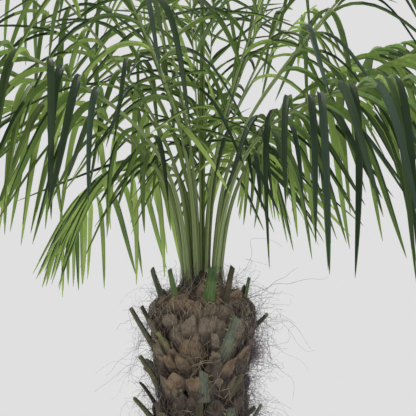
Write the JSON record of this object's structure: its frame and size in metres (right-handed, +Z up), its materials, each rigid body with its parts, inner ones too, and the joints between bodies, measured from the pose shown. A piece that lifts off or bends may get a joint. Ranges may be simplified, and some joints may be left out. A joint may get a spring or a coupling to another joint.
{
  "type": "feather-leaved date palm",
  "caption": "Young date palm with a rough, fibrous trunk of old leaf bases and a crown of arching, hanging feather fronds.",
  "frame": {"origin": "middle of the flat cut under the trunk, at ground level", "axes": "+Z up the trunk; the pictured side faces -Y, with +X to its right"},
  "size_m": [2.4012, 2.1291, 2.749],
  "materials": {
    "bark": "rough, fibrous, matt",
    "stalk": "smooth, satin",
    "leaf": "waxy leaf, satin"
  },
  "bodies": {
    "root": {"trunk": "bark", "spear": "leaf", "frond_01_stalk": "stalk", "frond_01_blade": "leaf", "frond_02_stalk": "stalk", "frond_02_blade": "leaf", "frond_03_stalk": "stalk", "frond_03_blade": "leaf", "frond_04_stalk": "stalk", "frond_04_blade": "leaf", "frond_05_stalk": "stalk", "frond_05_blade": "leaf", "frond_06_stalk": "stalk", "frond_06_blade": "leaf", "frond_07_stalk": "stalk", "frond_07_blade": "leaf", "frond_08_stalk": "stalk", "frond_08_blade": "leaf", "frond_09_stalk": "stalk", "frond_09_blade": "leaf", "frond_10_stalk": "stalk", "frond_10_blade": "leaf", "frond_11_stalk": "stalk", "frond_11_blade": "leaf", "frond_12_stalk": "stalk", "frond_12_blade": "leaf", "frond_13_stalk": "stalk", "frond_13_blade": "leaf", "frond_14_stalk": "stalk", "frond_14_blade": "leaf", "frond_15_stalk": "stalk", "frond_15_blade": "leaf", "frond_16_stalk": "stalk", "frond_16_blade": "leaf", "frond_17_stalk": "stalk", "frond_17_blade": "leaf", "frond_18_stalk": "stalk", "frond_18_blade": "leaf", "frond_19_stalk": "stalk", "frond_19_blade": "leaf", "frond_20_stalk": "stalk", "frond_20_blade": "leaf", "frond_21_stalk": "stalk", "frond_21_blade": "leaf", "frond_22_stalk": "stalk", "frond_22_blade": "leaf", "frond_23_stalk": "stalk", "frond_23_blade": "leaf", "frond_24_stalk": "stalk", "frond_24_blade": "leaf"}
  },
  "joints": []
}
